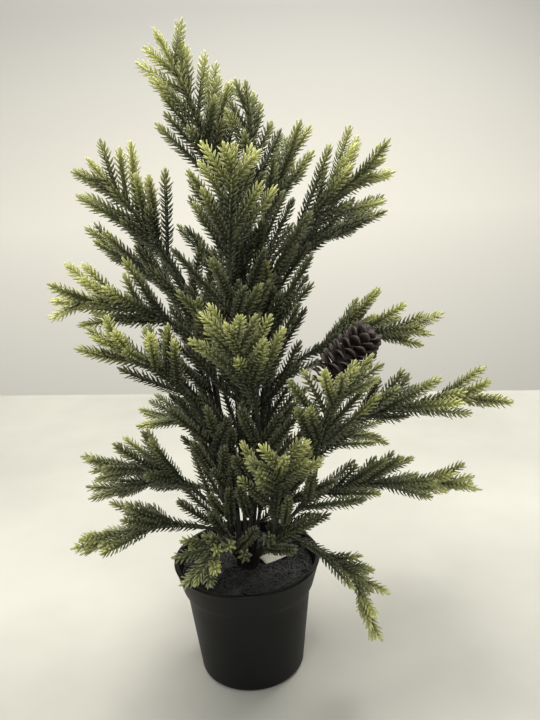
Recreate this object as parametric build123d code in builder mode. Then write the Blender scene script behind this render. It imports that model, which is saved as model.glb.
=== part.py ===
from build123d import *
from math import atan2, cos, degrees, hypot, radians, sin, tan
import os

# An artificial tabletop tree: a bundle of plastic-coated wire stems set in a weighted pot, each
# stem ending in a moulded evergreen spray. Millimetres. +Z is up and the origin is the centre of
# the pot's underside, so the tree stands on Z = 0.

# ---- pot -----------------------------------------------------------------------------------
pot_height = 104.5
rim_radius = 63.0
collar_depth = 24.5          # the band under the rim
collar_taper = 6.6           # the band is narrower at its foot than at the rim by this much
collar_foot_radius = rim_radius - collar_taper
collar_step = 2.4            # how far the body steps in under the collar
base_radius = 45.0
base_corner_radius = 5.0
pot_wall = 1.8
pot_floor = 2.4
rim_lip = 1.2                # the rim's top edge is rounded by half of this

# ---- filling -------------------------------------------------------------------------------
mat_below_rim = 8.5
soil_top = pot_height - mat_below_rim
soil_thickness = 7.0
mat_edge_radius = 2.0
filling_clearance = 0.15     # the cement shrinks away from the pot, and the mat is cut to drop in

# ---- stem bundle ---------------------------------------------------------------------------
stem_radius = 1.3
stem_depth = 38.0            # how far the stems go down into the cement, below the mat's top
stem_foot = soil_top - stem_depth
stem_gap = 0.6               # between neighbouring stems round each ring of the bundle
stem_pitch = 2 * stem_radius + stem_gap
inner_ring_count = 8
outer_ring_count = 16
inner_ring_radius = stem_pitch / (2 * sin(radians(180 / inner_ring_count))) + 0.3
outer_ring_radius = stem_pitch / (2 * sin(radians(180 / outer_ring_count)))
sleeve_wall = 0.8
sleeve_clearance = 0.2
sleeve_top = soil_top - 2.0
sleeve_inner_radius = outer_ring_radius + stem_radius + sleeve_clearance
sleeve_outer_radius = sleeve_inner_radius + sleeve_wall
bundle_rise = 5.0            # the stems stand straight this far above the mat, then lean out
stem_end_run = 16.0          # the last straight run of a stem, in line with its spray
largest_bend = 120.0

# ---- sprays --------------------------------------------------------------------------------
joint_gap = 0.8              # from a stem's end to its spray's root, where the wire bends
rachis_root_radius = 1.7
rachis_tip_radius = 1.0
rachis_sections = 9
side_root_radius = 1.2
side_tip_radius = 0.7
side_gap = 0.35              # a side tip is a moulding of its own, set just off the rachis
side_angle = 34.0            # from the rachis to a side tip
first_side = 0.14            # the first and last side tips, as shares of the rachis
last_side = 0.82
side_taper = 0.8             # side tips shorten by this share of the square of their place

# ---- inner tips: more of the same side tips, lower down on the stems -------------------------
inner_step = 12.0            # along the stem from one inner tip to the next
inner_share = 0.80           # how much of a stem's straight run carries them
inner_length = 54.0
inner_clearance = 1.2        # an inner tip is left out where another piece is nearer than this
spray_clearance = 2.8        # or where a spray is nearer than this, because sprays bend
inner_levels = {"low": 110.0, "middle": 200.0, "top": 400.0}   # upper ends, above the mat

# Each branch: name, root and tip of its spray, how far the middle arches up from the straight
# line, roll about that line in degrees, number of side tips, and length of the longest one.
# Points are measured from the middle of the bundle where it leaves the mat. Two sprays hang
# over the rim, so they are placed from it.
spread = 1.0                 # how far the branches stand from the bundle
rim_under_sprays = 63.0      # the rim radius that their points are written for
over_rim = rim_radius - rim_under_sprays
branches = [
    ("leader", (0, 0, 299), (-40, -10, 424), 5, 80, 15, 50),
    ("crown_back", (-2, 27, 298), (-8, 58, 404), 3, 60, 11, 42),
    ("crown_right", (14, -4, 280), (20, -6, 388), -4, 30, 11, 42),
    ("front_upper", (0, -32, 255), (8, -58, 344), 5, 0, 11, 48),
    ("upper_left", (-36, -12, 252), (-92, -26, 340), 3, -50, 13, 56),
    ("left_back_upper", (-34, 22, 222), (-106, 52, 278), 6, -25, 12, 54),
    ("left_long", (-30, -14, 206), (-128, -26, 244), 10, -40, 13, 58),
    ("left_mid_front", (-34, -27, 158), (-92, -78, 226), 6, -15, 12, 54),
    ("bottom_left", (-34, -8, 70), (-118, -12, 102), 13, -35, 12, 54),
    ("bottom_left_front", (-35, -33, 56), (-122, -58, 56), 9, -25, 12, 50),
    ("bottom_left_back", (-34, 26, 62), (-130, 62, 44), 10, -30, 12, 54),
    ("droop_front", (-9, -32, 42), (-38, -84 - over_rim, 40), 8, -10, 9, 36),
    ("upper_right", (44, 8, 272), (122, 14, 332), 4, 45, 13, 60),
    ("inner_right", (26, 22, 275), (62, 50, 350), 4, 25, 11, 54),
    ("back_right_upper", (35, 30, 240), (126, 74, 288), 8, 20, 13, 58),
    ("mid_right", (42, 4, 172), (156, 0, 196), 14, 35, 13, 62),
    ("centre_front", (14, -44, 150), (-4, -84, 230), 6, 0, 12, 54),
    ("right_long", (66, -30, 126), (200, -58, 156), 11, 30, 15, 58),
    ("front_right", (56, -50, 104), (80, -92, 196), 8, 5, 12, 56),
    ("low_front", (22, -46, 64), (30, -102, 140), 8, 0, 12, 50),
    ("low_right", (48, -10, 62), (184, -44, 78), 10, 30, 15, 58),
    ("droop_right", (42 + over_rim, -24, 34), (100 + over_rim, -44, -50), 18, 25, 11, 40),
    ("back_mid", (8, 46, 180), (18, 138, 216), 10, 10, 13, 56),
    ("back_low_right", (38, 42, 74), (134, 112, 64), 14, 10, 13, 56),
    ("back_low_left", (-16, 42, 100), (-78, 122, 90), 12, -10, 12, 56),
]
branches = [
    (name, *(Vector(*p) * spread + Vector(0, 0, soil_top) for p in (root, tip)), *rest)
    for name, root, tip, *rest in branches
]

# ---- pine cone -----------------------------------------------------------------------------
cone_centre = (83, -31, soil_top + 184)
cone_axis = (0.6, -0.1, 0.8)
cone_length = 50.0
cone_radius = 20.0
cone_rows = 7
cone_row_step = 3.0          # how far each row of scales stands out past the next row's foot
cone_least_radius = 1.5      # where the rows of scales close at the cone's point
cone_wire_radius = 0.8
cone_wire_gap = 1.6          # between the wire and its stem
cone_wire_run = 24.0         # the wire's straight run up to the cone
cone_wire_end = 0.1          # from the wire's end to the cone
cone_wire_share = 0.72       # how far up the straight run of its stem the wire leaves it
cone_wire_stem = "right_long"

# ---- paper tag -----------------------------------------------------------------------------
tag_length = 24.0
tag_width = 14.0
tag_thickness = 0.4
tag_hole_radius = 1.2
tag_hole_inset = 4.0         # from the hole's centre to the two edges near it
tag_centre = (24, 6)
tag_turn = 25.0              # degrees about Z
tag_tilt = 6.0               # its far end stands a little off the mat
tag_clearance = 1.6          # between the middle of the tag and the mat under it


def spray_frame(root, tip):
    """Unit vectors of a spray: along it, sideways, and upwards square to both."""
    along = (tip - root).normalized()
    up = (Vector(0, 0, 1) - along * along.Z).normalized()
    return along, along.cross(up), up


def rachis_point(root, tip, arch, share):
    """A point on the arched centre line, a parabola from the root to the tip."""
    straight = root + (tip - root) * share
    return straight + spray_frame(root, tip)[2] * (4 * arch * share * (1 - share))


def rachis_direction(root, tip, arch, share):
    return (tip - root + spray_frame(root, tip)[2] * (4 * arch * (1 - 2 * share))).normalized()


def rachis_radius(share):
    return rachis_root_radius + (rachis_tip_radius - rachis_root_radius) * share


def side_tip(root, tip, arch, roll, count, longest, k):
    """Start, direction and length of side tip k. They leave the rachis left and right in turn."""
    share = first_side + (last_side - first_side) * k / (count - 1)
    along = rachis_direction(root, tip, arch, share)
    side = along.cross(spray_frame(root, tip)[2]).normalized()
    up = side.cross(along)
    turn = radians(roll + 180 * (k % 2) + 30 * sin(2.4 * k + root.X))
    lean = radians(side_angle + 5 * sin(3.7 * k + root.Z))
    out = side * cos(turn) + up * sin(turn)
    direction = along * cos(lean) + out * sin(lean)
    clear = (rachis_radius(share) + side_root_radius * cos(lean) + side_gap) / sin(lean)
    length = longest * (1 - side_taper * share**2) * (1 + 0.12 * sin(1.9 * k + root.Y))
    return rachis_point(root, tip, arch, share) + direction * clear, direction, length - clear


def ring_places(names_by_azimuth, radius):
    """Places for stems on one ring of the bundle, in the order and near the azimuths they lean."""
    pitch = 360 / len(names_by_azimuth)
    turn = sum(a - pitch * k for k, (a, _) in enumerate(names_by_azimuth)) / len(names_by_azimuth)
    return {
        name: (
            radius * cos(radians(turn + pitch * k)),
            radius * sin(radians(turn + pitch * k)),
        )
        for k, (_, name) in enumerate(names_by_azimuth)
    }


def bundle_places():
    """Where each stem stands in the bundle: the leader in the middle, the flattest outermost."""
    leaning = sorted(
        (hypot(root.X, root.Y) / (root.Z - soil_top), degrees(atan2(root.Y, root.X)), name)
        for name, root, *_ in branches[1:]
    )
    inner = sorted((azimuth, name) for _, azimuth, name in leaning[:inner_ring_count])
    outer = sorted((azimuth, name) for _, azimuth, name in leaning[inner_ring_count:])
    places = {branches[0][0]: (0.0, 0.0)}
    places.update(ring_places(inner, inner_ring_radius))
    places.update(ring_places(outer, outer_ring_radius))
    return places


def stem_points(place, root, direction):
    """A stem: up through the sleeve, straight out, and into line with its spray at the root."""
    x, y = place
    return [
        Vector(x, y, stem_foot),
        Vector(x, y, soil_top + bundle_rise),
        root - direction * stem_end_run,
        root - direction * (joint_gap / 2),
    ]


def inner_tip(points, k):
    """Foot, direction and length of a stem's inner tip k, counted down from the spray. The tips
    lean outwards from the bundle, in turn to the left, the right and the middle."""
    along = (points[2] - points[1]).normalized()
    outward = Vector(points[2].X, points[2].Y, 0)
    outward = (outward - along * along.dot(outward)).normalized()
    side = along.cross(outward)
    turn = radians((70, -70, 15)[k % 3] + 25 * sin(2.2 * k + points[2].Z))
    lean = radians(side_angle + 6 * sin(1.3 * k + points[2].X))
    direction = along * cos(lean) + (outward * cos(turn) + side * sin(turn)) * sin(lean)
    clear = (stem_radius + side_root_radius * cos(lean) + side_gap) / sin(lean)
    length = inner_length * (1 + 0.15 * sin(1.7 * k + points[2].Y))
    return points[2] - along * (inner_step * k) + direction * clear, direction, length - clear


def bend_radii(points, first_reach):
    """The largest radius that each corner's two runs allow, up to the largest bend. The first
    bend reaches no further back along the wire than the length given."""
    radii = []
    for before, corner, after in zip(points, points[1:], points[2:]):
        turn = radians((corner - before).get_angle(after - corner))
        reach = 0.45 * min((corner - before).length, (after - corner).length)
        if not radii:
            reach = min(reach, first_reach)
        radii.append(min(reach / tan(turn / 2), largest_bend))
    return radii


os.makedirs("parts", exist_ok=True)
cone_stands = (Align.CENTER, Align.CENTER, Align.MIN)

# ---- pot: a thin moulded shell, turned about Z -----------------------------------------------
collar_foot = pot_height - collar_depth
body_top_radius = collar_foot_radius - collar_step
with BuildPart() as pot:
    with BuildSketch(Plane.XZ):
        with BuildLine():
            Polyline(
                (0, 0),
                (base_radius, 0),
                (body_top_radius, collar_foot),
                (collar_foot_radius, collar_foot),
                (rim_radius, pot_height),
                (rim_radius - 2 * pot_wall, pot_height),
                (collar_foot_radius - collar_step - pot_wall, collar_foot),
                (base_radius - pot_wall, pot_floor),
                (0, pot_floor),
                close=True,
            )
        make_face()
    revolve(axis=Axis.Z)
    rim_edges = pot.edges().group_by(Axis.Z)[-1]
    fillet(rim_edges, rim_lip / 2)
    base_edge = pot.edges().group_by(Axis.Z)[0]
    fillet(base_edge, base_corner_radius)
pot.part.label = "pot"
export_step(pot.part, "parts/pot.step")


def inner_radius(z):
    """The pot's inside radius at a height."""
    if z < collar_foot:
        low, high = base_radius - pot_wall, body_top_radius - pot_wall
        return low + (high - low) * (z - pot_floor) / (collar_foot - pot_floor)
    low, high = body_top_radius - pot_wall, rim_radius - 2 * pot_wall
    return low + (high - low) * (z - collar_foot) / (pot_height - collar_foot)


# ---- cement ballast, cast round the sleeve -----------------------------------------------------
ballast_top = soil_top - soil_thickness
with BuildPart() as cement_ballast:
    with BuildSketch(Plane.XZ):
        with BuildLine():
            Polyline(
                (0, pot_floor + filling_clearance),
                (inner_radius(pot_floor) - 3 * filling_clearance, pot_floor + filling_clearance),
                (inner_radius(collar_foot) - filling_clearance, collar_foot),
                (inner_radius(ballast_top) - filling_clearance, ballast_top),
                (0, ballast_top),
                close=True,
            )
        make_face()
    revolve(axis=Axis.Z)
    with BuildSketch(Plane.XY.offset(stem_foot - filling_clearance)):
        Circle(sleeve_outer_radius + filling_clearance)
    extrude(amount=pot_height, mode=Mode.SUBTRACT)
cement_ballast.part.label = "cement_ballast"
export_step(cement_ballast.part, "parts/cement_ballast.step")

# ---- soil mat: black shredded fibre that hides the cement ---------------------------------------
with BuildPart() as soil_mat:
    with BuildSketch(Plane.XY.offset(ballast_top + filling_clearance)):
        Circle(inner_radius(ballast_top) - 2 * filling_clearance)
        Circle(sleeve_outer_radius + filling_clearance, mode=Mode.SUBTRACT)
    extrude(amount=soil_thickness - filling_clearance)
    fillet(soil_mat.edges().group_by(Axis.Z)[-1].sort_by(SortBy.RADIUS)[-1], mat_edge_radius)
soil_mat.part.label = "soil_mat"
export_step(soil_mat.part, "parts/soil_mat.step")

# ---- sleeve round the foot of the stems ---------------------------------------------------------
with BuildPart() as stem_sleeve:
    with BuildSketch(Plane.XY.offset(stem_foot)):
        Circle(sleeve_outer_radius)
        Circle(sleeve_inner_radius, mode=Mode.SUBTRACT)
    extrude(amount=sleeve_top - stem_foot)
stem_sleeve.part.label = "stem_sleeve"
export_step(stem_sleeve.part, "parts/stem_sleeve.step")

# ---- stems and sprays -----------------------------------------------------------------------------
places = bundle_places()
taken = []                   # (line, radius, owner) of every stem, rachis and tip so far
stem_lines = {}
for name, root, tip, arch, roll, count, longest in branches:
    points = stem_points(places[name], root, rachis_direction(root, tip, arch, 0))
    stem_lines[name] = points
    with BuildPart() as stem:
        with BuildLine() as centre_line:
            FilletPolyline(*points, radius=bend_radii(points, soil_top + bundle_rise - sleeve_top))
        taken += [(edge, stem_radius, name) for edge in centre_line.edges()]
        with BuildSketch(Plane(origin=points[0], z_dir=(0, 0, 1))):
            Circle(stem_radius)
        sweep()
    stem.part.label = "stem_" + name
    export_step(stem.part, "parts/stem_" + name + ".step")

    with BuildPart() as spray:
        start = joint_gap / 2 / (tip - root).length
        for k in range(rachis_sections):
            share = start + (1 - start) * k / (rachis_sections - 1)
            centre = rachis_point(root, tip, arch, share)
            with BuildSketch(Plane(origin=centre, z_dir=rachis_direction(root, tip, arch, share))):
                Circle(rachis_radius(share))
        loft(ruled=True)
        rachis_line = Edge.make_spline([rachis_point(root, tip, arch, x) for x in (0, 0.5, 1)])
        taken.append((rachis_line, rachis_root_radius, "spray"))
        for k in range(count):
            foot, direction, length = side_tip(root, tip, arch, roll, count, longest, k)
            tip_line = Edge.make_line(foot, foot + direction * length)
            taken.append((tip_line, side_root_radius, "spray"))
            with Locations(Plane(origin=foot, z_dir=direction)):
                Cone(side_root_radius, side_tip_radius, length, align=cone_stands)
    spray.part.label = "spray_" + name
    export_step(spray.part, "parts/spray_" + name + ".step")

# ---- pine cone on its wire ------------------------------------------------------------------------
cone_plane = Plane(origin=cone_centre, z_dir=cone_axis)
cone_profile = Plane(origin=cone_centre, x_dir=cone_plane.x_dir, z_dir=-cone_plane.y_dir)
row_height = cone_length / cone_rows


def cone_outline(height):
    """The cone's radius at a height from its foot: an egg, fattest a third of the way up."""
    share = height / cone_length
    return cone_radius * sin(radians(180 * (0.12 + 0.88 * share) ** 0.75)) ** 0.8


with BuildPart() as pine_cone:
    with BuildSketch(cone_profile):
        with BuildLine():
            rows = [(0, -cone_length / 2)]
            for row in range(cone_rows):
                low = row * row_height
                rows.append((cone_outline(low + row_height / 2), low - cone_length / 2))
                outer = cone_outline(low + row_height / 2) - cone_row_step * (row < cone_rows - 1)
                rows.append((max(outer, cone_least_radius), low + row_height - cone_length / 2))
            rows.append((0, cone_length / 2))
            Polyline(*rows, close=True)
        make_face()
    revolve(axis=Axis(cone_centre, cone_axis))
cone_middle = Edge.make_line(cone_plane.origin, cone_plane.origin + cone_plane.z_dir)
taken.append((cone_middle, cone_length / 2, "spray"))
pine_cone.part.label = "pine_cone"
export_step(pine_cone.part, "parts/pine_cone.step")

cone_foot = Vector(*cone_centre) - cone_plane.z_dir * (cone_length / 2 + cone_wire_end)
low, high = stem_lines[cone_wire_stem][1:3]
cone_wire_offset = stem_radius + cone_wire_radius + cone_wire_gap
cone_wire_start = low + (high - low) * cone_wire_share
cone_wire_start += (high - low).cross(Vector(0, 1, 0)).normalized() * cone_wire_offset
with BuildPart() as cone_wire:
    wire_points = [
        cone_wire_start,
        cone_foot - cone_plane.z_dir * cone_wire_run,
        cone_foot,
    ]
    with BuildLine() as wire_line:
        FilletPolyline(*wire_points, radius=bend_radii(wire_points, cone_length))
    taken += [(edge, cone_wire_radius, "spray") for edge in wire_line.edges()]
    with BuildSketch(Plane(origin=wire_points[0], z_dir=wire_points[1] - wire_points[0])):
        Circle(cone_wire_radius)
    sweep()
cone_wire.part.label = "cone_wire"
export_step(cone_wire.part, "parts/cone_wire.step")

# ---- inner tips ---------------------------------------------------------------------------------
inner_tips = {level: [] for level in inner_levels}
for name, points in stem_lines.items():
    run = (points[2] - points[1]).length
    for k in range(1, int(inner_share * run / inner_step) + 1):
        foot, direction, length = inner_tip(points, k)
        line = Edge.make_line(foot, foot + direction * length)
        if all(
            line.distance_to(other) - side_root_radius - radius
            > (spray_clearance if owner == "spray" else inner_clearance)
            for other, radius, owner in taken
            if owner != name
        ):
            taken.append((line, side_root_radius, ""))
            level = next(x for x, top in inner_levels.items() if foot.Z < soil_top + top)
            inner_tips[level].append((foot, direction, length))
for level, tips in inner_tips.items():
    with BuildPart() as tip_group:
        for foot, direction, length in tips:
            with Locations(Plane(origin=foot, z_dir=direction)):
                Cone(side_root_radius, side_tip_radius, length, align=cone_stands)
    tip_group.part.label = "inner_tips_" + level
    export_step(tip_group.part, "parts/inner_tips_" + level + ".step")

# ---- paper tag, lying on the mat beside the stems ----------------------------------------------------
tag_plane = Plane(origin=(*tag_centre, soil_top + tag_clearance)).rotated((0, -tag_tilt, tag_turn))
with BuildPart() as paper_tag:
    with BuildSketch(tag_plane):
        Rectangle(tag_length, tag_width)
        with Locations((tag_length / 2 - tag_hole_inset, tag_width / 2 - tag_hole_inset)):
            Circle(tag_hole_radius, mode=Mode.SUBTRACT)
    extrude(amount=tag_thickness)
paper_tag.part.label = "paper_tag"
export_step(paper_tag.part, "parts/paper_tag.step")
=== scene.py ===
from math import cos, pi, radians, sin

import bpy
import numpy as np
from mathutils import Matrix, Vector


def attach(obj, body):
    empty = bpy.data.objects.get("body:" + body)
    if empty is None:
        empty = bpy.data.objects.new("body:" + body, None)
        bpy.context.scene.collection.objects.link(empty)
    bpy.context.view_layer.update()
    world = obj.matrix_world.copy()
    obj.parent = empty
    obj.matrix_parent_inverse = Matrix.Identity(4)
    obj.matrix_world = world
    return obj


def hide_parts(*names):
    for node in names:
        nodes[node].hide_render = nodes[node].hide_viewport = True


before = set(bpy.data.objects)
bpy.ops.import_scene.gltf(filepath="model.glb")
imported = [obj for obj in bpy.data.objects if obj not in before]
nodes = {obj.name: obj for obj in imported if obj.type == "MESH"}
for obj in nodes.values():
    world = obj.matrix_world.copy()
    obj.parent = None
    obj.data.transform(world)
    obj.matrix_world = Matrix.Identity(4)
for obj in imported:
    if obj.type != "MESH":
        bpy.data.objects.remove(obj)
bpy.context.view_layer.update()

# ---- sizes, in metres -----------------------------------------------------------------------
needle_length = 0.0070
needle_width = 0.0019        # across the blade at its foot
needle_thickness = 0.0011
needle_pitch = 0.0036        # along a twig, from one needle of a row to the next
needle_rows = 6
needle_rise = radians(62)    # a needle leaves the twig at this angle
needle_lean = radians(34)    # and leans forward to this one at its point
twig_foot_radius = 0.0015
twig_point_radius = 0.0011
rachis_foot_radius = 0.0019
rachis_point_radius = 0.0012
twig_sides = 6
twig_tuft = 6                # needles that close a twig's end
tuft_setback = 0.0012
tuft_lean = 0.78
feet_depth = 0.5             # share of the twig's radius at which the needles stand
last_needle = 0.985          # no needle of the rows stands past this share of the twig
root_overlap = 0.0016        # a spray's foot reaches this far back into its stem
side_twig_overlap = 0.0038   # and a side twig's this far into the rachis
inner_twig_overlap = 0.0036
twig_bend = 0.0022
rachis_stations = 27
rod_end_share = 0.15         # of a rod's length, where its thickness is compared
odd_direction = (0.31, 0.17, 0.93)

# How fresh each spray is moulded: 0 is the dark old green, 1 the yellow-green of new growth.
freshness = {
    "leader": 1.0, "crown_back": 0.75, "crown_right": 0.55, "front_upper": 0.8,
    "upper_left": 0.9, "left_back_upper": 0.5, "left_long": 0.95, "left_mid_front": 0.85,
    "bottom_left": 0.6, "bottom_left_front": 0.7, "bottom_left_back": 0.5,
    "droop_front": 0.55, "upper_right": 0.9, "inner_right": 0.8, "back_right_upper": 0.45,
    "mid_right": 0.8, "centre_front": 0.85, "right_long": 0.85, "front_right": 0.7,
    "low_front": 0.75, "low_right": 0.8, "droop_right": 1.1, "back_mid": 0.7,
    "back_low_right": 0.6, "back_low_left": 0.6,
}
inner_freshness = 0.22
inner_twig_bend = 0.003

# ---- twigs on the stems, between the sprays -------------------------------------------------
stem_slice = 0.003
stem_twig_start = 0.60       # shares of the stem's length
stem_twig_end = 0.98
stem_twig_pitch = 0.013
stem_twig_lean = radians(38)
stem_twig_length = 0.052
stem_twig_floor = 0.255      # no twig starts lower than this

# ---- short twigs that stand out of each spray's own plane -----------------------------------
over_share = 0.62            # of the side twig next to it
over_reach = 0.42            # they stand on this share of the rachis, from its root
over_chance = 0.75
over_upward = 0.7            # the chance that one stands on the upper side
twig_vigour = (0.65, 1.28)   # how fresh one twig may be beside the next
golden_turn = radians(137.5)
over_lean = radians(36)
over_turn = radians(62)      # from the spray's plane
over_shift = 0.006

# ---- pot ------------------------------------------------------------------------------------
pot_height = 0.1045
rim_radius = 0.063
collar_foot_height = 0.080
collar_foot_radius = 0.0564
collar_step = 0.0024
base_radius = 0.045
base_corner = 0.005
pot_wall = 0.0018
pot_floor = 0.0024
pot_sides = 160
corner_shift = 0.0006        # brings the corner's arc out to meet the leaning side
step_round = 0.0008          # the band's lower edge
step_land = 0.0002           # the band's underside stops this far from the side below it
collar_end = 0.0030          # the band's straight part stops this far below the rim
lip_round = 0.0013
inner_lip_round = 0.0008
floor_ring = 0.02            # a ring across the floor, between its edge and its middle
pole_radius = 0.0002         # the smallest ring, which a single face closes

# ---- mat of black fibre ---------------------------------------------------------------------
mat_top = 0.096
mat_radius = 0.0562
mat_hole_radius = 0.0095     # round the bundle of stems
mat_sink = 0.0016            # the disc lies this far below the strands' top
mat_edge_start = 0.050       # past this radius the disc falls away
mat_edge_run = 0.009
mat_edge_fall = 0.0030
mat_depth = 0.006
mat_rings = 40
mat_spokes = 180
strand_count = 1400
strand_radius = 0.00070
strand_length = (0.007, 0.020)
strand_points = 8
strand_curl = 1.1            # spread of the angle, in radians, through which one curls

# ---- pine cone ------------------------------------------------------------------------------
cone_centre = np.array([0.083, -0.031, 0.280])
cone_axis = np.array([0.6, -0.1, 0.8])
cone_length = 0.050
cone_radius = 0.020
cone_scales = 84
cone_grid = 7                # points across and along one scale
cone_core_share = 0.42       # of the cone's radius
cone_turn = radians(137.508) # from one scale to the next
scale_half_width = 0.0058
scale_longest = 0.0205
scale_shortest = 0.006

# ---- paper tag ------------------------------------------------------------------------------
tag_length = 0.024
tag_width = 0.014
tag_thickness = 0.0004
tag_hole = (0.008, 0.003)
tag_hole_radius = 0.0012
tag_centre = (0.024, 0.006, 0.0976)
tag_turn = radians(25)
tag_tilt = radians(6)
tag_curl = 0.0022            # rise at the ends, as the square of the way along
tag_twist = 0.0010

# ---- camera ---------------------------------------------------------------------------------
camera_place = (0.0, -0.542, 0.428)
camera_yaw = radians(2.96)
camera_pitch = radians(-15.44)
camera_roll = radians(-2.77)
camera_lens = 35.0
camera_sensor = 36.0


# ==== shader arithmetic ======================================================================
class Wire:
    """A shader socket that takes part in arithmetic: each operator adds a Math node."""

    def __init__(self, finish, socket):
        self.finish = finish
        self.socket = socket

    def _math(self, operation, *values):
        return self.finish.node("ShaderNodeMath", {"operation": operation}, dict(enumerate(values)))

    def __add__(self, other):
        return self._math("ADD", self, other)

    def __radd__(self, other):
        return self._math("ADD", other, self)

    def __sub__(self, other):
        return self._math("SUBTRACT", self, other)

    def __rsub__(self, other):
        return self._math("SUBTRACT", other, self)

    def __mul__(self, other):
        return self._math("MULTIPLY", self, other)

    def __rmul__(self, other):
        return self._math("MULTIPLY", other, self)

    def clamp(self):
        return self.finish.node("ShaderNodeClamp", {}, {"Value": self})


class Finish:
    """A material built from nodes, ending in one Principled BSDF. What it is made with, such as
    IOR=1.5, is set straight on that shader's sockets."""

    def __init__(self, name, **constants):
        self.material = bpy.data.materials.new(name)
        self.material.use_nodes = True
        self.tree = self.material.node_tree
        self.shader = self.tree.nodes["Principled BSDF"]
        for socket, value in constants.items():
            self.shader.inputs[socket.replace("_", " ")].default_value = value

    def node(self, kind, settings=None, inputs=None, output=0):
        """Adds a node: its settings first, then the values or links of its sockets."""
        made = self.tree.nodes.new(kind)
        for key, value in (settings or {}).items():
            if key == "stops":
                self._stops(made.color_ramp, value)
            else:
                setattr(made, key, value)
        for key, value in (inputs or {}).items():
            self._put(made.inputs[key], value)
        return Wire(self, made.outputs[output])

    def _stops(self, ramp, stops):
        while len(ramp.elements) < len(stops):
            ramp.elements.new(1.0)
        for element, (place, colour) in zip(ramp.elements, stops):
            element.position = place
            element.color = (*colour, 1.0)

    def _put(self, socket, value):
        if isinstance(value, Wire):
            self.tree.links.new(value.socket, socket)
        elif isinstance(value, tuple) and len(value) == 3 and socket.type == "RGBA":
            socket.default_value = (*value, 1.0)
        else:
            socket.default_value = value

    def set(self, socket, value):
        self._put(self.shader.inputs[socket], value)

    def coordinates(self, scale=(1.0, 1.0, 1.0)):
        """Object coordinates, which are output 3 of the node, stretched by the scale."""
        place = self.node("ShaderNodeTexCoord", output=3)
        return self.node("ShaderNodeMapping", {}, {"Vector": place, "Scale": scale})

    def noise(self, scale, detail=3.0, roughness=0.5, vector=None):
        vector = vector or self.coordinates()
        return self.node(
            "ShaderNodeTexNoise", {},
            {"Vector": vector, "Scale": scale, "Detail": detail, "Roughness": roughness},
        )

    def ramp(self, factor, stops):
        return self.node("ShaderNodeValToRGB", {"stops": stops}, {"Fac": factor})

    def mix(self, factor, first, second):
        """Mixes two colours: sockets 6 and 7 are the colour pair, and output 2 the colour."""
        return self.node(
            "ShaderNodeMix", {"data_type": "RGBA", "blend_type": "MIX"},
            {0: factor, 6: first, 7: second}, output=2,
        )

    def bump(self, height, distance, strength):
        normal = self.node(
            "ShaderNodeBump", {}, {"Height": height, "Distance": distance, "Strength": strength}
        )
        self.set("Normal", normal)


def needle_plastic():
    """Moulded polyethylene: dark grey-green to yellow-green, and paler towards each needle's point as
    painted light shining through the tip and painted highlight.
    The mesh's own leaf attribute holds a needle's freshness, the share along it, and its luck, a
    number of its own that makes it differ from the next."""
    finish = Finish("needle_plastic", IOR=1.5)
    leaf = finish.node("ShaderNodeAttribute", {"attribute_name": "leaf"})
    parts = finish.node("ShaderNodeSeparateColor", {}, {"Color": leaf})
    fresh = Wire(finish, parts.socket.node.outputs[0])
    along = Wire(finish, parts.socket.node.outputs[1])
    luck = Wire(finish, parts.socket.node.outputs[2])
    cloud = finish.noise(55.0, 2.0)
    tone = (fresh + (luck - 0.5) * 0.16 + (cloud - 0.5) * 0.22).clamp()
    body = finish.ramp(tone, [
        (0.0, (0.030, 0.035, 0.021)),
        (0.3, (0.098, 0.110, 0.046)),
        (0.6, (0.320, 0.340, 0.108)),
        (1.0, (0.650, 0.665, 0.235)),
    ])
    # painted light: these paler colours, mixed in towards each needle's point, stand for light shining
    # through the tips and for their highlights
    point = finish.ramp(tone, [
        (0.0, (0.170, 0.176, 0.108)),
        (0.4, (0.335, 0.348, 0.172)),
        (1.0, (0.790, 0.795, 0.360)),
    ])
    colour = finish.mix((along * along * 0.8).clamp(), body, point)
    finish.set("Base Color", colour)
    finish.set("Roughness", 0.42 + 0.2 * cloud)
    finish.bump(finish.noise(900.0, 2.0), 0.0001, 0.5)
    return finish.material


def wire_coat():
    """Dark brown-black plastic tape over steel wire, with fine ridges and a dusty bloom."""
    finish = Finish("wire_coat", IOR=1.5)
    bloom = finish.noise(160.0, 4.0, 0.6)
    ridges = finish.noise(1.0, 2.0, 0.5, finish.coordinates((700.0, 700.0, 420.0)))
    finish.set("Base Color", finish.ramp(bloom, [
        (0.3, (0.012, 0.010, 0.009)),
        (0.7, (0.034, 0.030, 0.024)),
    ]))
    finish.set("Roughness", 0.38 + 0.25 * bloom)
    finish.bump(ridges, 0.0004, 0.6)
    return finish.material


def pot_plastic():
    """Matte black injection-moulded plastic: a fine spark texture, scuffs and a little dust."""
    finish = Finish("pot_plastic", IOR=1.30)
    dust = finish.noise(26.0, 5.0, 0.65)
    scuff = finish.noise(1.0, 4.0, 0.6, finish.coordinates((60.0, 60.0, 9.0)))
    finish.set("Base Color", finish.ramp(dust, [
        (0.35, (0.0034, 0.0034, 0.0036)),
        (0.75, (0.0062, 0.0062, 0.0064)),
    ]))
    finish.set("Roughness", 0.40 + 0.14 * dust + 0.08 * scuff)
    finish.bump(finish.noise(1500.0, 2.0) * 0.6 + dust * 0.4, 0.00012, 0.35)
    return finish.material


def black_fibre(name, low, high):
    """Dull dyed fibre, clouded between two near-blacks, which the mat's body takes darker as painted
    shade.
    """
    finish = Finish(name, IOR=1.45)
    tint = finish.noise(70.0, 3.0)
    finish.set("Base Color", finish.ramp(tint, [(0.3, low), (0.75, high)]))
    finish.set("Roughness", 0.55 + 0.25 * tint)
    finish.bump(finish.noise(1400.0, 3.0), 0.0004, 0.7)
    return finish.material


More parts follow.
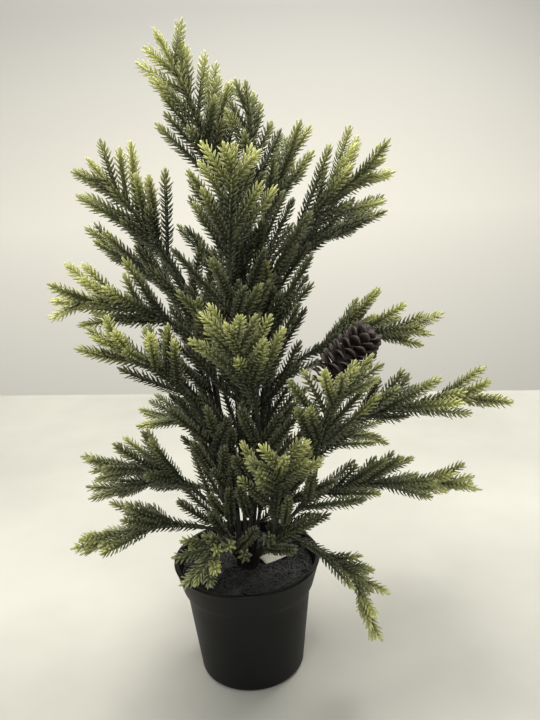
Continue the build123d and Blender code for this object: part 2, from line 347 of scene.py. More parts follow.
def cone_wood():
    """Dried cone scales: dark purple-brown inside, with paler rims that are partly their real wear and
    partly painted highlight.
    """
    finish = Finish("cone_wood", IOR=1.5)
    rim = finish.node("ShaderNodeAttribute", {"attribute_name": "rim"}, output=2)
    grain = finish.noise(1.0, 4.0, 0.6, finish.coordinates((260.0, 260.0, 420.0)))
    body = finish.ramp(grain, [(0.3, (0.012, 0.008, 0.007)), (0.75, (0.036, 0.023, 0.019))])
    # partly painted highlight: the paler rim colours are partly the scales' weathered tips and partly
    # highlight painted on
    rim_wear_and_highlight = finish.ramp(grain, [(0.3, (0.042, 0.030, 0.026)), (0.75, (0.120, 0.093, 0.078))])
    finish.set("Base Color", finish.mix((rim * 0.85).clamp(), body, rim_wear_and_highlight))
    finish.set("Roughness", 0.5 + 0.3 * grain)
    finish.bump(grain, 0.0006, 0.8)
    return finish.material


def card():
    """Uncoated cream card with a faint fibre and grubby smudges."""
    finish = Finish("paper", IOR=1.45)
    fibre = finish.noise(420.0, 4.0, 0.7)
    smudge = finish.noise(90.0, 3.0)
    finish.set("Base Color", finish.ramp(smudge * 0.7 + fibre * 0.3, [
        (0.3, (0.720, 0.685, 0.560)),
        (0.7, (0.900, 0.875, 0.760)),
    ]))
    finish.set("Roughness", 0.75 + 0.15 * fibre)
    finish.bump(fibre, 0.00015, 0.5)
    return finish.material


def plain(name, colour, roughness, grain_scale, grain_depth):
    """One colour, a fifth darker in its clouds, with a fine grain."""
    finish = Finish(name, IOR=1.45)
    grain = finish.noise(grain_scale, 4.0, 0.6)
    dark = tuple(0.8 * c for c in colour)
    finish.set("Base Color", finish.ramp(grain, [(0.3, dark), (0.7, colour)]))
    finish.set("Roughness", roughness + 0.1 * grain)
    finish.bump(grain, grain_depth, 0.5)
    return finish.material


# ==== mesh helpers ===========================================================================
def mesh_piece(name, points, faces, material):
    """A smooth-shaded object at the origin from points and a list of face arrays. Each array
    holds faces of one size."""
    mesh = bpy.data.meshes.new(name)
    mesh.vertices.add(len(points))
    mesh.vertices.foreach_set("co", np.asarray(points, np.float32).ravel())
    sizes = np.concatenate([np.full(len(f), f.shape[1], np.int32) for f in faces])
    corners = np.concatenate([f.ravel() for f in faces]).astype(np.int32)
    mesh.loops.add(len(corners))
    mesh.loops.foreach_set("vertex_index", corners)
    mesh.polygons.add(len(sizes))
    mesh.polygons.foreach_set("loop_start", np.r_[0, np.cumsum(sizes)[:-1]].astype(np.int32))
    mesh.polygons.foreach_set("loop_total", sizes)
    mesh.polygons.foreach_set("use_smooth", np.full(len(sizes), True))
    mesh.update(calc_edges=True)
    mesh.materials.append(material)
    piece = bpy.data.objects.new(name, mesh)
    bpy.context.scene.collection.objects.link(piece)
    return piece


def add_attribute(piece, name, kind, values):
    """Stores one value per point, a number or a colour, for a material to read."""
    layer = piece.data.attributes.new(name, kind, "POINT")
    field = "color" if kind == "FLOAT_COLOR" else "value"
    layer.data.foreach_set(field, np.asarray(values, np.float32).ravel())


def unit(v):
    return v / np.linalg.norm(v, axis=-1, keepdims=True)


def grid_faces(rows, columns, wrap):
    """Quads of a grid of rows by columns, closed round each row if wrap is set."""
    i = np.arange(rows - 1)[:, None] * columns
    j = np.arange(columns if wrap else columns - 1)[None]
    k = (j + 1) % columns
    return np.stack([i + j, i + k, i + columns + k, i + columns + j], -1).reshape(-1, 4)


def copies(faces, vertices_each, count):
    """The faces of many copies of one small mesh that lie one after the other."""
    shift = vertices_each * np.arange(count)[:, None, None]
    return (faces[None] + shift).reshape(-1, faces.shape[1])


def at_place(place, stations, vectors):
    """Vectors at places between stations, each of their three parts interpolated."""
    return np.stack([np.interp(place, stations, vectors[:, axis]) for axis in range(3)], -1)


def along_line(share, line):
    """The points at shares of a line, with its own points taken as evenly spaced."""
    return at_place(share, np.linspace(0, 1, len(line)), line)


class Heap:
    """Gathers many small meshes, with one value per point, into one piece."""

    def __init__(self):
        self.points, self.values, self.quads, self.triangles, self.total = [], [], [], [], 0

    def add(self, points, values, quads, triangles):
        self.points.append(points.reshape(-1, 3))
        self.values.append(values.reshape(len(self.points[-1]), -1))
        self.quads.append(quads + self.total)
        self.triangles.append(triangles + self.total)
        self.total += len(self.points[-1])

    def piece(self, name, material, attribute, kind):
        faces = [np.concatenate(f) for f in (self.quads, self.triangles) if sum(map(len, f))]
        made = mesh_piece(name, np.concatenate(self.points), faces, material)
        add_attribute(made, attribute, kind, np.concatenate(self.values))
        return made


def cross_axes(along):
    """Two unit vectors square to each direction. The odd direction is one that no twig has."""
    side = unit(np.cross(along, odd_direction))
    return side, np.cross(along, side)


def tube(path, radii, sides):
    """A tube: circles of the given radii carried along a path, closed by a point at each end."""
    along = unit(np.gradient(path, axis=0))
    side, up = cross_axes(along)
    turn = 2 * pi * np.arange(sides) / sides
    ring = cos_sin(turn, side, up)
    points = path[:, None] + np.asarray(radii)[:, None, None] * ring
    flat = np.concatenate([points.reshape(-1, 3), path[:1], path[-1:]])
    count = len(path) * sides
    k = np.arange(sides)
    near = np.stack([np.full(sides, count), (k + 1) % sides, k], -1)
    last = count - sides
    far = np.stack([np.full(sides, count + 1), last + k, last + (k + 1) % sides], -1)
    return flat, grid_faces(len(path), sides, True), np.concatenate([near, far])


def cos_sin(turn, side, up):
    """Unit vectors at the turns given, in the planes of side and up, one row per plane."""
    return np.cos(turn)[None, :, None] * side[:, None] + np.sin(turn)[None, :, None] * up[:, None]


# ==== reading the frame ======================================================================
def islands(node):
    """The separate solids of a CAD node, each as an array of its points. Points that fall together
    are one, and each takes the lowest label that its edges lead to, until none changes."""
    mesh = nodes[node].data
    points = np.zeros(len(mesh.vertices) * 3)
    mesh.vertices.foreach_get("co", points)
    points = points.reshape(-1, 3)
    edges = np.zeros(len(mesh.edges) * 2, np.int64)
    mesh.edges.foreach_get("vertices", edges)
    edges = edges.reshape(-1, 2)
    _, same = np.unique(np.round(points, 6), axis=0, return_inverse=True)
    same = same.ravel()
    label = np.arange(same.max() + 1)
    a, b = same[edges[:, 0]], same[edges[:, 1]]
    while True:
        low = np.minimum(label[a], label[b])
        before = label.copy()
        np.minimum.at(label, a, low)
        np.minimum.at(label, b, low)
        label = label[label]
        if (label == before).all():
            break
    owner = label[same]
    return [points[owner == k] for k in np.unique(owner)]


def rod_line(points, count):
    """The centre line of a slim rod, from its thick end: the quadratic that passes through the
    middle of its points, as a function of how far along the rod they lie."""
    middle = points.mean(0)
    along = np.linalg.svd(points - middle, full_matrices=False)[2][0]
    place = (points - middle) @ along
    low, high = place.min(), place.max()
    fit = np.polyfit(place, points, 2)

    def curve(place):
        place = place[:, None]
        return fit[0] * place ** 2 + fit[1] * place + fit[2]

    gap = np.linalg.norm(points - curve(place), axis=1)
    ends = low + rod_end_share * (high - low), high - rod_end_share * (high - low)
    line = curve(np.linspace(low, high, count))
    return line if gap[place < ends[0]].max() > gap[place > ends[1]].max() else line[::-1]


# ==== needles ================================================================================
# One needle: three rings of four corners at these shares of it, and its point. Its angle to the
# twig changes evenly from needle_rise to needle_lean in bend_steps equal steps, and the sums of
# the angle's cosines and sines say how far forward and outward each ring lies.
bend_steps = 4
needle_steps = np.array([0.0, 0.42, 0.78])
needle_swell = np.array([0.80, 1.0, 0.72])
bend_share = np.linspace(0, 1, bend_steps + 1)
lean_angles = (needle_rise + (needle_lean - needle_rise) * bend_share)[1:]
ring_share = np.r_[needle_steps, 1.0]
needle_forward = np.interp(ring_share, bend_share, np.r_[0, np.cumsum(np.cos(lean_angles))] / bend_steps)
needle_outward = np.interp(ring_share, bend_share, np.r_[0, np.cumsum(np.sin(lean_angles))] / bend_steps)
needle_corners = np.array([(1, 0), (0, 1), (-1, 0), (0, -1)])
needle_quads = np.concatenate([grid_faces(3, 4, True)[:, ::-1], [[0, 1, 2, 3]]])
needle_triangles = np.array([[9, 8, 12], [10, 9, 12], [11, 10, 12], [8, 11, 12]])


def add_needles(heap, feet, along, outward, length, lean, fresh, luck):
    """Needles: each a slim four-sided blade that leaves its foot outwards, leans forward, swells
    at its second ring and is drawn to a point. lean turns the whole needle further forward. Each
    array has a row per needle."""
    count = len(feet)
    across = np.cross(along, outward)
    lean_cos, lean_sin = np.cos(lean)[:, None], np.sin(lean)[:, None]
    forward = needle_forward[None] * lean_cos + needle_outward[None] * lean_sin
    out = needle_outward[None] * lean_cos - needle_forward[None] * lean_sin
    line = feet[:, None] + length[:, None, None] * (
        forward[..., None] * along[:, None] + out[..., None] * outward[:, None]
    )
    run = unit(np.diff(line, axis=1))
    flat = np.cross(across[:, None], run)
    swell = needle_swell[None, :, None, None]
    ring = (
        needle_corners[None, None, :, :1] * across[:, None, None] * needle_width / 2
        + needle_corners[None, None, :, 1:] * flat[:, :, None] * needle_thickness / 2
    ) * swell
    body = line[:, :3, None] + ring
    points = np.concatenate([body.reshape(count, 12, 3), line[:, 3:]], 1)
    share = np.r_[np.repeat(needle_steps, 4), 1.0]
    values = np.ones((count, 13, 4))
    values[..., 0] = fresh[:, None]
    # the share along the needle, which the needle material uses to paint light at its point
    values[..., 1] = share[None]
    values[..., 2] = luck[:, None]
    heap.add(points, values, copies(needle_quads, 13, count), copies(needle_triangles, 13, count))


def add_twig(heap, path, foot_radius, point_radius, fresh_at, rng, bare):
    """A twig: a tube along a path, rows of needles in step round it, each second row half a
    pitch on, and a tuft that closes its end. fresh_at gives the freshness at a share of the
    twig, and bare is the share at its foot with no needles."""
    steps = np.linalg.norm(np.diff(path, axis=0), axis=1)
    length = steps.sum()
    place = np.r_[0, np.cumsum(steps)] / length
    radii = foot_radius + (point_radius - foot_radius) * place
    points, quads, triangles = tube(path, radii, twig_sides)
    values = np.zeros((len(points), 4))
    values[:, 0] = np.r_[np.repeat(fresh_at(place), twig_sides), fresh_at(place[[0, -1]])] * 0.6
    values[:, 2] = 0.4
    heap.add(points, values, quads, triangles)

    whorls = max(int((length * (1 - bare)) / needle_pitch), 2)
    turn_start = rng.uniform(0, 2 * pi)
    whorl_share = bare + (1 - bare) * (np.arange(whorls) + 0.5) / whorls
    share, turn = np.meshgrid(whorl_share, np.arange(needle_rows), indexing="ij")
    share = share + (turn % 2) * 0.5 * (1 - bare) / whorls
    keep = share < last_needle
    turn = turn_start + turn * 2 * pi / needle_rows
    share, turn = share[keep], turn[keep]
    count = len(share)
    centre = at_place(share, place, path)
    tangent = unit(np.gradient(path, axis=0))
    along = unit(at_place(share, place, tangent))
    side, up = cross_axes(along)
    turn = turn + rng.normal(0, 0.10, count)
    outward = np.cos(turn)[:, None] * side + np.sin(turn)[:, None] * up
    size = needle_length * (1 + rng.normal(0, 0.07, count))
    size = size * np.interp(share, [bare, bare + 0.12, 0.8, 1.0], [0.75, 1.0, 1.0, 0.85])
    lean = np.interp(share, [0.8, 1.0], [0.0, 0.45]) + rng.normal(0, 0.07, count)
    feet = centre + outward * point_radius * feet_depth
    add_needles(heap, feet, along, outward, size, lean, fresh_at(share), rng.random(count))

    turn = turn_start + 2 * pi * np.arange(twig_tuft) / twig_tuft + rng.normal(0, 0.15, twig_tuft)
    ends = np.repeat(path[-1:], twig_tuft, 0)
    along = np.repeat(tangent[-1:], twig_tuft, 0)
    outward = cos_sin(turn, side[-1:], up[-1:])[0]
    size = needle_length * (0.85 + 0.15 * rng.random(twig_tuft))
    lean = tuft_lean + rng.normal(0, 0.1, twig_tuft)
    fresh = np.repeat(fresh_at(np.array([1.0])), twig_tuft)
    add_needles(
        heap, ends - along * tuft_setback, along, outward, size, lean, fresh, rng.random(twig_tuft)
    )


def curved(start, end, lift, rng, count=9):
    """A straight run given a slight bend: it lifts and wanders as the square of the share."""
    share = np.linspace(0, 1, count)[:, None]
    run = end - start
    sway = rng.normal(0, 1, 3)
    sway -= unit(run) * (sway @ unit(run))
    bend = np.array([0, 0, lift]) + unit(sway) * lift * 0.6
    return start + run * share + bend * share ** 2


def smooth_step(low, high, x):
    """0 below low, 1 above high, and 3 t squared less 2 t cubed between."""
    t = np.clip((x - low) / (high - low), 0, 1)
    return t * t * (3 - 2 * t)


def spray(name, seed):
    """One moulded spray on its wire. The rachis and the side twigs lie on the CAD's own lines, and
    near the root short twigs stand out of their plane."""
    rng = np.random.default_rng(seed)
    rods = sorted(islands("spray_" + name), key=lambda rod: np.ptp(rod, axis=0).max(), reverse=True)
    line, tips = rod_line(rods[0], rachis_stations), [rod_line(rod, 2) for rod in rods[1:]]
    root = line[0]
    fresh = freshness[name]
    heap = Heap()
    first = unit(line[1] - line[0])
    line = np.concatenate([[line[0] - first * root_overlap], line])
    reach = max(np.linalg.norm(rod[-1] - root) for rod in tips + [line])

    def age(points, share, twig):
        """Freshness at points: it grows with the distance from the root, and to each twig's end."""
        grown = smooth_step(0.25, 1.0, np.linalg.norm(points - root, axis=-1) / reach)
        shoot = 0.75 * grown * (0.45 + 0.55 * share)
        return fresh * np.clip(0.10 + shoot + 0.30 * share ** 2 * twig, 0, 1)

    def rachis_age(share):
        return age(along_line(share, line), np.asarray(share) ** 1.5, 0.6)

    add_twig(heap, line, rachis_foot_radius, rachis_point_radius, rachis_age, rng, 0.03)
    for tip in tips:
        direction = unit(tip[-1] - tip[0])
        path = curved(tip[0] - direction * side_twig_overlap, tip[-1], twig_bend, rng)
        vigour = rng.uniform(*twig_vigour)

        def tip_age(share):
            return vigour * age(along_line(share, path), np.asarray(share), 1.0)

        add_twig(heap, path, twig_foot_radius, twig_point_radius, tip_age, rng, 0.06)

        place = np.argmin(np.linalg.norm(line - tip[0], axis=1))
        if place > over_reach * len(line) or rng.random() > over_chance:
            continue
        shoot = unit(line[min(place + 1, len(line) - 1)] - line[max(place - 1, 0)])
        out = unit(direction - shoot * (direction @ shoot))
        above = np.cross(shoot, out)
        above *= np.sign(above[2]) * (1 if rng.random() < over_upward else -1)
        away = cos(over_turn) * out + sin(over_turn) * above
        run = cos(over_lean) * shoot + sin(over_lean) * away
        size = over_share * np.linalg.norm(tip[-1] - tip[0]) * rng.uniform(0.8, 1.15)
        start = line[place] + shoot * over_shift
        path = curved(start, start + run * size, twig_bend, rng)
        add_twig(heap, path, twig_foot_radius, twig_point_radius, tip_age, rng, 0.06)
    piece = heap.piece("foliage_" + name, needle_finish, "leaf", "FLOAT_COLOR")
    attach(piece, "spray_" + name)
    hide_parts("spray_" + name)


def stem_line(name):
    """A bent stem's centre line, foot first: the middle of its points in slices along it."""
    points = islands("stem_" + name)[0]
    middle = points.mean(0)
    along = np.linalg.svd(points - middle, full_matrices=False)[2][0]
    place = (points - middle) @ along
    slices = np.floor((place - place.min()) / stem_slice).astype(int)
    line = np.stack([points[slices == k].mean(0) for k in np.unique(slices)])
    return line if line[0, 2] < line[-1, 2] else line[::-1]


def add_stem_twigs(heap, name, rng):
    """Twigs round a stem's upper part: each leaves at stem_twig_lean, a golden angle on from the
    last."""
    line = stem_line(name)
    steps = np.linalg.norm(np.diff(line, axis=0), axis=1)
    place = np.r_[0, np.cumsum(steps)]
    tangent = unit(np.gradient(line, axis=0))
    stations = np.arange(stem_twig_start * place[-1], stem_twig_end * place[-1], stem_twig_pitch)
    turn = rng.uniform(0, 2 * pi)
    for station in stations + rng.uniform(-0.002, 0.002, len(stations)):
        turn += golden_turn
        foot = at_place(station, place, line)
        if foot[2] < stem_twig_floor:
            continue
        along = unit(at_place(station, place, tangent))
        side, up = cross_axes(along)
        out = cos(turn) * side + sin(turn) * up
        run = cos(stem_twig_lean) * along + sin(stem_twig_lean) * out
        size = stem_twig_length * rng.uniform(0.7, 1.15)
        path = curved(foot, foot + run * size, inner_twig_bend, rng)
        grown = freshness[name] * rng.uniform(0.25, 0.75)

        def twig_age(share):
            return grown * (0.30 + 0.70 * np.asarray(share) ** 2)

        add_twig(heap, path, twig_foot_radius, twig_point_radius, twig_age, rng, 0.05)


def inner_foliage(level, seed):
    """The tips on the stems, darker than the sprays, with the twigs higher on the stems at the
    top level."""
    rng = np.random.default_rng(seed)
    heap = Heap()
    if level == "top":
        for name in freshness:
            add_stem_twigs(heap, name, rng)
    for rod in islands("inner_tips_" + level):
        tip = rod_line(rod, 2)
        direction = unit(tip[-1] - tip[0])
        path = curved(tip[0] - direction * inner_twig_overlap, tip[-1], inner_twig_bend, rng)
        grown = inner_freshness * rng.uniform(0.5, 1.6)

        def tip_age(share):
            return grown * (0.45 + 0.55 * np.asarray(share) ** 2)

        add_twig(heap, path, twig_foot_radius, twig_point_radius, tip_age, rng, 0.05)
    piece = heap.piece("inner_foliage_" + level, needle_finish, "leaf", "FLOAT_COLOR")
    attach(piece, "tree_base")
    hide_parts("inner_tips_" + level)


# ==== pot, mat, cone and tag =================================================================
def arc(centre, radius, start, end, count):
    """Points of a circle's arc, from one angle to another in degrees."""
    turn = np.radians(np.linspace(start, end, count))
    return np.stack([centre[0] + radius * np.cos(turn), centre[1] + radius * np.sin(turn)], -1)


def pot():
    """A lathe surface: a profile of radius and height turned about Z. The profile runs up the
    outside, over the rounded lip, and down the inside to the floor."""
    side_foot_radius = collar_foot_radius - collar_step
    lean_low = (side_foot_radius - base_radius) / collar_foot_height
    lean_high = (rim_radius - collar_foot_radius) / (pot_height - collar_foot_height)
    corner_centre = (base_radius - base_corner + corner_shift, base_corner)
    step_centre = (collar_foot_radius - step_round, collar_foot_height + step_round)
    lip_centre = (rim_radius - lip_round, pot_height - lip_round)
    inner_lip_centre = (rim_radius - 2 * pot_wall + inner_lip_round, pot_height - inner_lip_round)
    side_heights = np.linspace(base_corner * 1.4, collar_foot_height - step_round, 8)
    collar_heights = np.linspace(collar_foot_height + 2 * step_round, pot_height - collar_end, 8)
    profile = np.concatenate([
        [(pole_radius, 0.0), (floor_ring, 0.0)],
        arc(corner_centre, base_corner, -90, -8, 8),
        [(base_radius + lean_low * z, z) for z in side_heights],
        [(side_foot_radius + step_land, collar_foot_height)],
        arc(step_centre, step_round, -90, 0, 5),
        [(collar_foot_radius + lean_high * (z - collar_foot_height), z) for z in collar_heights],
        arc(lip_centre, lip_round, 0, 90, 7),
        arc(inner_lip_centre, inner_lip_round, 90, 180, 5),
        [(side_foot_radius - pot_wall, collar_foot_height), (base_radius - pot_wall, pot_floor)],
        [(floor_ring, pot_floor), (pole_radius, pot_floor)],
    ])
    turn = 2 * pi * np.arange(pot_sides) / pot_sides
    radius, height = profile[:, 0][:, None], profile[:, 1][:, None]
    points = np.stack([radius * np.cos(turn), radius * np.sin(turn), height + 0 * turn], -1)
    last = (len(profile) - 1) * pot_sides
    caps = [np.arange(pot_sides)[::-1][None], (last + np.arange(pot_sides))[None]]
    faces = [grid_faces(len(profile), pot_sides, True), *caps]
    piece = mesh_piece("pot_shell", points.reshape(-1, 3), faces, pot_plastic())
    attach(piece, "tree_base")
    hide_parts("pot")


def mat_height(x, y):
    """The disc's height: a sum of sine waves, less the square of the way past its edge's start."""
    waves = 0.0008 * np.sin(210 * x + 1.3) * np.sin(190 * y + 0.4)
    waves = waves + 0.0006 * np.sin(370 * x - 260 * y) + 0.0004 * np.sin(560 * y + 430 * x + 2)
    edge = np.clip((np.hypot(x, y) - mat_edge_start) / mat_edge_run, 0, 1)
    return mat_top - mat_sink + waves - mat_edge_fall * edge ** 2


def mat():
    """The mat's body: a lumpy ring of polar points, closed by a skirt inside and outside and by a
    flat underside."""
    radius = np.linspace(mat_hole_radius, mat_radius, mat_rings)[:, None]
    spoke = np.arange(mat_spokes)
    turn = (2 * pi * spoke / mat_spokes)[None]
    x, y = radius * np.cos(turn), radius * np.sin(turn)
    top = np.stack([x, y, mat_height(x, y)], -1)
    below = np.array([0, 0, mat_top - mat_depth])
    inner_ring, outer_ring = top[0] * [1, 1, 0] + below, top[-1] * [1, 1, 0] + below
    points = np.concatenate([inner_ring, top.reshape(-1, 3), outer_ring])
    quads = grid_faces(mat_rings + 2, mat_spokes, True)
    last, following = (mat_rings + 1) * mat_spokes, (spoke + 1) % mat_spokes
    under = np.stack([spoke, last + spoke, last + following, following], -1)
    # painted shade: the mat's body is the same fibre as the strands, made several times darker to stand
    # for the shade deep between them
    dark = black_fibre("fibre_body_painted_shade", (0.004, 0.004, 0.005), (0.014, 0.014, 0.015))
    piece = mesh_piece("fibre_mat", points, [quads[:, ::-1], under[:, ::-1]], dark)
    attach(piece, "tree_base")
    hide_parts("soil_mat")


def mat_strands():
    """Loose strands on the mat: thin tubes that turn evenly along their length, arched by a half
    sine and drawn in at the ends. One that would leave the mat is pulled back to its edge."""
    rng = np.random.default_rng(7)
    heap = Heap()
    share = np.linspace(0, 1, strand_points)
    taper = np.interp(share, [0, 0.1, 0.9, 1], [0.5, 1, 1, 0.4])
    for _ in range(strand_count):
        r = np.sqrt(rng.uniform(0.011 ** 2, (mat_radius - 0.003) ** 2))
        a = rng.uniform(0, 2 * pi)
        heading = rng.uniform(0, 2 * pi)
        curl = rng.normal(0, strand_curl)
        step = rng.uniform(*strand_length) / (strand_points - 1)
        angle = heading + curl * share
        x = r * np.cos(a) + np.r_[0, np.cumsum(np.cos(angle[1:]))] * step
        y = r * np.sin(a) + np.r_[0, np.cumsum(np.sin(angle[1:]))] * step
        pull = np.minimum(1, (mat_radius - 0.0004) / np.hypot(x, y))
        x, y = x * pull, y * pull
        rise = rng.uniform(0.0002, 0.0018) * np.sin(pi * share) + rng.uniform(-0.0003, 0.0004)
        path = np.stack([x, y, mat_height(x, y) + rise], -1)
        thick = strand_radius * rng.uniform(0.5, 1.25)
        points, quads, triangles = tube(path, thick * taper, 4)
        heap.add(points, np.full((len(points), 1), rng.random()), quads, triangles)
    grey = black_fibre("fibre_strand", (0.013, 0.013, 0.013), (0.058, 0.056, 0.054))
    piece = heap.piece("fibre_strands", grey, "lucky", "FLOAT")
    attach(piece, "tree_base")


def pine_cone():
    """Scales on a golden-angle spiral round an egg-shaped core. Each scale is a spoon: a grid
    along it (u, from 0 to 1) and across it (v, from -1 to 1), widening to a rounded rim that
    curls outwards, with an upper and a lower side that meet all round."""
    axis = unit(cone_axis)
    side = unit(np.cross(axis, [0, 1, 0]))
    front = np.cross(axis, side)
    heap = Heap()
    share = np.linspace(0, 1, 24)
    core_radius = cone_core_share * cone_radius * np.sin(pi * (0.06 + 0.90 * share)) ** 0.6
    path = cone_centre + np.outer((share - 0.5) * cone_length * 0.94, axis)
    points, quads, triangles = tube(path, core_radius, 16)
    heap.add(points, np.zeros((len(points), 1)), quads, triangles)

    ring = 2 * cone_grid
    k = np.arange(cone_grid - 1)
    end = np.stack([k, k + 1, ring - 2 - k, ring - 1 - k], -1)
    last = (cone_grid - 1) * ring
    faces = np.concatenate([grid_faces(cone_grid, ring, True), end[:, ::-1], end + last])
    u = np.linspace(0, 1, cone_grid)[:, None]
    v = np.linspace(-1, 1, cone_grid)[None]
    rounding = np.sqrt(np.clip(1 - np.clip((u - 0.72) / 0.40, 0, 1) ** 2, 0.05, 1))
    hollow = 0.0011 * v ** 2 * u + 0.0030 * u ** 3
    half_thick = (0.0007 + 0.0011 * smooth_step(0.55, 0.9, u)) / 2 * (1 - 0.7 * v ** 2)
    # the rim share, which cone_wood reads for the paler rim colour, partly painted highlight
    rim = smooth_step(0.62, 0.98, u) * np.ones_like(v)
    for number in range(cone_scales):
        place = (number + 0.5) / cone_scales
        turn = number * cone_turn
        swell = np.sin(pi * (0.12 + 0.88 * place) ** 0.75) ** 0.8
        tilt = radians(18 + 62 * place ** 1.4)
        out = side * cos(turn) + front * sin(turn)
        across = np.cross(axis, out)
        run = out * cos(tilt) + axis * sin(tilt)
        lift = np.cross(across, run)
        length = max(cone_radius * swell * 0.98 / max(cos(tilt), 0.35), scale_shortest)
        length = min(length, scale_longest)
        width = scale_half_width * (0.55 + 0.45 * swell) * (0.30 + 0.95 * u ** 1.1) * rounding
        along = u * length * (1 - 0.10 * v ** 2)
        foot = cone_centre + axis * (place ** 0.92 - 0.5) * cone_length * 0.93
        middle = foot + along[..., None] * run + (v * width)[..., None] * across
        middle = middle + hollow[..., None] * lift
        upper = middle + half_thick[..., None] * lift
        lower = middle - half_thick[..., None] * lift
        grid = np.concatenate([upper, lower[:, ::-1]], 1)
        values = np.concatenate([rim, rim[:, ::-1]], 1)
        heap.add(grid, values, faces, np.zeros((0, 3), int))
    piece = heap.piece("cone_scales", cone_wood(), "rim", "FLOAT")
    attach(piece, "cone_pick")
    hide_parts("pine_cone")


def paper_tag():
    """A card ruled between its hole's circle and its outline. Its height is a square of the way
    along, for the curl, and a product of both ways, for the twist."""
    count, bands = 64, 8
    turn = 2 * pi * (np.arange(count) + 0.5) / count
    away = np.stack([np.cos(turn), np.sin(turn)], -1)
    hole = np.array(tag_hole)
    limit = np.array([tag_length, tag_width]) / 2
    reach = np.min(np.where(away > 0, (limit - hole) / away, (-limit - hole) / away), axis=1)
    share = np.linspace(0, 1, bands)[:, None, None]
    flat = hole + away * (tag_hole_radius * (1 - share) + reach[:, None] * share)
    x, y = flat[..., 0], flat[..., 1]
    height = tag_curl * (x / tag_length) ** 2 + tag_twist * x * y / tag_width / tag_length
    card_points = np.stack([x, y, height], -1).reshape(-1, 3)
    turn_matrix = np.array(Matrix.Rotation(tag_turn, 3, "Z") @ Matrix.Rotation(-tag_tilt, 3, "Y"))
    points = card_points @ turn_matrix.T + np.array(tag_centre)
    piece = mesh_piece("card_tag", points, [grid_faces(bands, count, True)], card())
    thicken = piece.modifiers.new("card_thickness", "SOLIDIFY")
    thicken.thickness = tag_thickness
    thicken.offset = 0
    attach(piece, "tree_base")
    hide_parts("paper_tag")


# ==== stage ==================================================================================
def sheet(name, corners, material):
    """One flat four-cornered sheet of the stage."""
    mesh = bpy.data.meshes.new(name)
    mesh.from_pydata(corners, [], [(0, 1, 2, 3)])
    mesh.materials.append(material)
    made = bpy.data.objects.new(name, mesh)
    bpy.context.scene.collection.objects.link(made)


def backdrop_paper_painted_light():
    """Matt paper with painted light: palest at the middle of its height, a little darker below and much
    darker towards the top, painted as a sheet lit from above and below looks.
    """
    finish = Finish("backdrop_paper_painted_light", Roughness=0.9)
    place = finish.node("ShaderNodeSeparateXYZ", {}, {"Vector": finish.coordinates()}, output=2)
    # painted light: the ramp on height keeps the paper palest near mid height and darkens it towards the
    # top as painted falloff
    finish.set("Base Color", finish.ramp(place * 0.7 + 0.35, [
        (0.15, (0.84, 0.81, 0.72)),
        (0.55, (0.93, 0.895, 0.79)),
        (0.95, (0.54, 0.53, 0.49)),
    ]))
    return finish.material


def light(name, place, aim, size, power, colour):
    """A round soft light that faces a point."""
    lamp = bpy.data.lights.new(name, "AREA")
    lamp.shape = "DISK"
    lamp.size = size
    lamp.energy = power
    lamp.color = colour
    holder = bpy.data.objects.new(name, lamp)
    holder.location = place
    holder.rotation_euler = (Vector(aim) - Vector(place)).to_track_quat("-Z", "Y").to_euler()
    bpy.context.scene.collection.objects.link(holder)


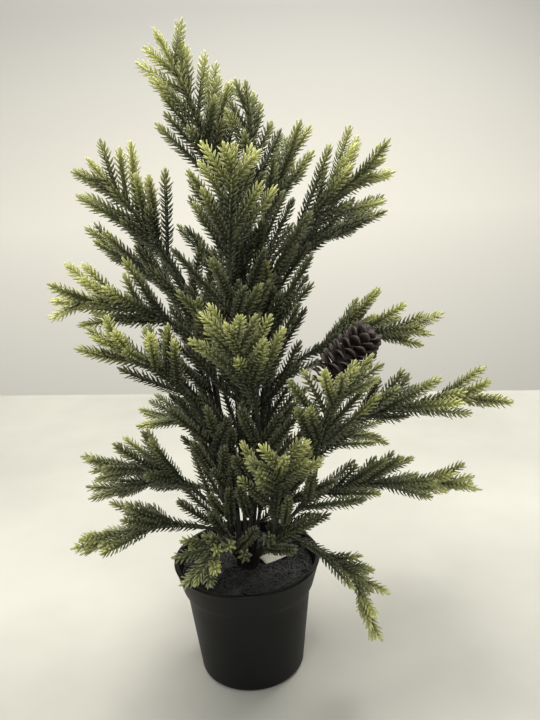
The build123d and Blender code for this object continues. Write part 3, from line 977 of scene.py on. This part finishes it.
def stage():
    """A pale table top in front of a backdrop, under three soft lights in an even grey room."""
    table = plain("table_paint", (0.54, 0.53, 0.465), 0.6, 3.0, 0.0001)
    sheet("table_top", [(-1.4, -1.2, 0), (1.4, -1.2, 0), (1.4, 0.53, 0), (-1.4, 1.02, 0)], table)
    corners = [(-4, 1.6, -1.5), (4, 1.6, -1.5), (4, 1.6, 3.5), (-4, 1.6, 3.5)]
    sheet("backdrop", corners, backdrop_paper_painted_light())
    light("key", (-0.45, 0.15, 1.75), (0, 0, 0.2), 1.0, 29, (1.0, 0.985, 0.95))
    light("fill", (-0.2, -1.3, 1.3), (0, 0, 0.30), 1.0, 10.5, (1.0, 0.99, 0.97))
    light("back", (0.75, 0.65, 1.45), (0.1, 0.3, 0.2), 0.9, 18, (1.0, 0.99, 0.96))
    bpy.context.scene.view_settings.view_transform = "Standard"
    world = bpy.data.worlds.new("room")
    world.use_nodes = True
    background = world.node_tree.nodes["Background"]
    background.inputs["Color"].default_value = (0.86, 0.88, 0.90, 1)
    background.inputs["Strength"].default_value = 0.40
    bpy.context.scene.world = world


def camera():
    """The camera, turned by its yaw from +Y towards +X, then its pitch, then its roll."""
    level = cos(camera_pitch)
    forward = Vector((sin(camera_yaw) * level, cos(camera_yaw) * level, sin(camera_pitch)))
    right = Vector((cos(camera_yaw), -sin(camera_yaw), 0))
    up = right.cross(forward)
    rolled_right = right * cos(camera_roll) + up * sin(camera_roll)
    rolled_up = up * cos(camera_roll) - right * sin(camera_roll)
    lens = bpy.data.cameras.new("camera")
    lens.lens = camera_lens
    lens.sensor_width = camera_sensor
    lens.clip_start = 0.01
    holder = bpy.data.objects.new("camera", lens)
    matrix = Matrix((rolled_right, rolled_up, -forward)).transposed().to_4x4()
    matrix.translation = Vector(camera_place)
    holder.matrix_world = matrix
    bpy.context.scene.collection.objects.link(holder)
    bpy.context.scene.camera = holder


# ==== making =================================================================================
def finish_node(name, material):
    """Gives a CAD node's own mesh a material and smooth shading."""
    nodes[name].data.materials.clear()
    nodes[name].data.materials.append(material)
    for polygon in nodes[name].data.polygons:
        polygon.use_smooth = True


needle_finish = needle_plastic()
coat = wire_coat()
camera()
stage()
pot()
mat()
mat_strands()
pine_cone()
paper_tag()
for number, spray_name in enumerate(freshness):
    spray(spray_name, 100 + number)
for number, level_name in enumerate(("low", "middle", "top")):
    inner_foliage(level_name, 300 + number)
for node_name in nodes:
    if node_name.startswith("stem_") and node_name != "stem_sleeve" or node_name == "cone_wire":
        finish_node(node_name, coat)
finish_node("stem_sleeve", plain("sleeve_plastic", (0.012, 0.012, 0.012), 0.5, 300.0, 0.0002))
finish_node("cement_ballast", plain("cement", (0.42, 0.41, 0.39), 0.85, 120.0, 0.0008))
